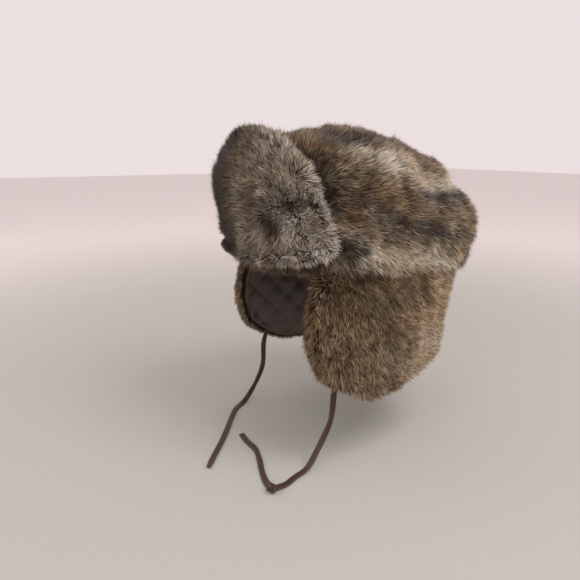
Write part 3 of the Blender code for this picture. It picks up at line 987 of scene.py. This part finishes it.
for panel, chart in (("left", side_chart), ("right", side_chart), ("centre", strip_chart)):
    make_lining("crown_quilt_" + panel, "crown_lining_" + panel, "crown", chart,
                lambda places: -from_crown_middle(places))
for body, chart, inward in (
    ("left_ear_flap", lambda p: (p[:, 1], p[:, 2]), lambda p: -to_the_side(p)),
    ("right_ear_flap", lambda p: (p[:, 1], p[:, 2]), lambda p: -to_the_side(p)),
    ("neck_flap", lambda p: (p[:, 0], p[:, 2]), lambda p: -to_the_back(p)),
):
    make_lining(body + "_quilt", body + "_lining", body, chart, inward)
make_lining(
    "visor_quilt", "visor_lining", "visor",
    lambda p: (0.11 * np.arctan2(p[:, 0], -p[:, 1]), p[:, 2]), lambda p: -from_axis(p), puff=0.0008,
)

# ---------------------------------------------------------------------------------------------
# Sweatband and rim: a grosgrain ribbon 28 mm tall sewn inside the opening, and a satin binding
# under the crown's edge that closes the batting between lining and pelt.
# ---------------------------------------------------------------------------------------------
ribbon, shader = new_material("black_grosgrain_ribbon")
place = add_node(ribbon, "ShaderNodeTexCoord").outputs["Object"]
ribs = add_node(
    ribbon, "ShaderNodeTexWave", {"bands_direction": "Z"}, {"Scale": 280.0, "Distortion": 0.4},
    {"Vector": place},
).outputs["Fac"]
colour = add_node(
    ribbon, "ShaderNodeMix", {"data_type": "RGBA"},
    {"A": linear("#141110"), "B": linear("#2C2522")}, {"Factor": ribs},
).outputs["Result"]
bump = add_node(
    ribbon, "ShaderNodeBump", values={"Strength": 0.5, "Distance": 0.0003}, links={"Height": ribs}
).outputs["Normal"]
ribbon.node_tree.links.new(colour, shader.inputs["Base Color"])
ribbon.node_tree.links.new(bump, shader.inputs["Normal"])
shader.inputs["Roughness"].default_value = 0.6
shader.inputs["Sheen Weight"].default_value = 0.2
band = copy_nodes("sweatband_ribbon", ["sweatband"])
bpy.ops.object.mode_set(mode="EDIT")
bpy.ops.mesh.select_all(action="SELECT")
bpy.ops.mesh.tris_convert_to_quads()
bpy.ops.mesh.subdivide(number_cuts=2)
bpy.ops.mesh.vertices_smooth(factor=0.3, repeat=2)
bpy.ops.object.mode_set(mode="OBJECT")
places, _, _ = mesh_arrays(band.data)
ripple = 0.0004 * waves(places, 0.022, 71)[:, :1]
band.data.vertices.foreach_set("co", (places - from_axis(places) * ripple).ravel())
band.data.update()
band.data.shade_smooth()
band.data.materials.append(ribbon)
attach(band, "crown")
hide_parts("sweatband")

rim = bmesh.new()
rows = []
for k in range(96):
    turn = 2.0 * math.pi * k / 96
    row = []
    for share in (0.0, 0.5, 1.0):
        across, along = math.cos(turn), math.sin(turn)
        x = math.copysign(abs(across) ** (2 / 2.4), across) * (0.0752 + 0.0185 * share)
        y = math.copysign(abs(along) ** (2 / 2.4), along) * (
            (0.1045 if along > 0 else 0.0955) + 0.0190 * share
        )
        row.append((x, y, 0.002 - 0.05 * y))
    rows.append([
        [rim.verts.new((x, y, z - drop)) for x, y, z in row] for drop in (0.0001, 0.0008)
    ])
for first, second in zip(rows, rows[1:] + rows[:1]):
    for k in range(2):
        rim.faces.new((first[0][k], first[0][k + 1], second[0][k + 1], second[0][k]))
        rim.faces.new((first[1][k], second[1][k], second[1][k + 1], first[1][k + 1]))
    rim.faces.new((first[0][0], second[0][0], second[1][0], first[1][0]))
    rim.faces.new((first[0][2], first[1][2], second[1][2], second[0][2]))
bmesh.ops.recalc_face_normals(rim, faces=rim.faces[:])
rim_mesh = bpy.data.meshes.new("crown_rim_binding")
rim.to_mesh(rim_mesh)
rim.free()
rim_mesh.shade_smooth()
binding, shader = new_material("brown_satin_binding")
shader.inputs["Base Color"].default_value = linear("#2B211B")
shader.inputs["Roughness"].default_value = 0.45
shader.inputs["Sheen Weight"].default_value = 0.3
rim_mesh.materials.append(binding)
rim_object = bpy.data.objects.new("crown_rim_binding", rim_mesh)
scene.collection.objects.link(rim_object)
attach(rim_object, "crown")

# Batting: undyed polyester wadding, closed in between the crown's lining and pelts.
wadding, shader = new_material("polyester_wadding")
place = add_node(wadding, "ShaderNodeTexCoord").outputs["Object"]
fluff = add_node(
    wadding, "ShaderNodeTexNoise", values={"Scale": 400.0, "Detail": 6.0}, links={"Vector": place}
).outputs["Fac"]
colour = add_node(
    wadding, "ShaderNodeMix", {"data_type": "RGBA"},
    {"A": linear("#6E675E"), "B": linear("#8A8379")}, {"Factor": fluff},
).outputs["Result"]
wadding.node_tree.links.new(colour, shader.inputs["Base Color"])
shader.inputs["Roughness"].default_value = 1.0
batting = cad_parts["crown_batting"]
batting.data.materials.clear()
batting.data.materials.append(wadding)

# Tacks: each tie's end is held by a bar of waxed thread on the flap's lining.
thread_look, shader = new_material("waxed_brown_thread")
place = add_node(thread_look, "ShaderNodeTexCoord").outputs["Object"]
strands = add_node(
    thread_look, "ShaderNodeTexWave", {"bands_direction": "DIAGONAL"},
    {"Scale": 900.0, "Distortion": 1.5}, {"Vector": place},
).outputs["Fac"]
colour = add_node(
    thread_look, "ShaderNodeMix", {"data_type": "RGBA"},
    {"A": linear("#2C1D15"), "B": linear("#6A4B38")}, {"Factor": strands},
).outputs["Result"]
thread_look.node_tree.links.new(colour, shader.inputs["Base Color"])
shader.inputs["Roughness"].default_value = 0.5
for side in ("left", "right"):
    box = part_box(side + "_tie_tack")
    low, high = Vector(box[0]), Vector(box[1])
    made = []
    for k in range(6):
        bpy.ops.mesh.primitive_cylinder_add(
            vertices=10, radius=0.00032, depth=high.z - low.z + 0.0006,
            location=(
                (low.x + high.x) / 2, low.y + (high.y - low.y) * (k + 0.5) / 6, (low.z + high.z) / 2
            ),
            rotation=(math.radians(4.0 * (-1) ** k), 0.0, 0.0),
        )
        made.append(bpy.context.object)
    bpy.ops.object.select_all(action="DESELECT")
    for piece in made:
        piece.select_set(True)
    bpy.context.view_layer.objects.active = made[0]
    bpy.ops.object.join()
    tack = bpy.context.object
    bpy.ops.object.transform_apply(location=True, rotation=True, scale=True)
    tack.name = side + "_tie_bar_tack"
    tack.data.shade_smooth()
    tack.data.materials.append(thread_look)
    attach(tack, side + "_ear_flap")
    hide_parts(side + "_tie_tack")
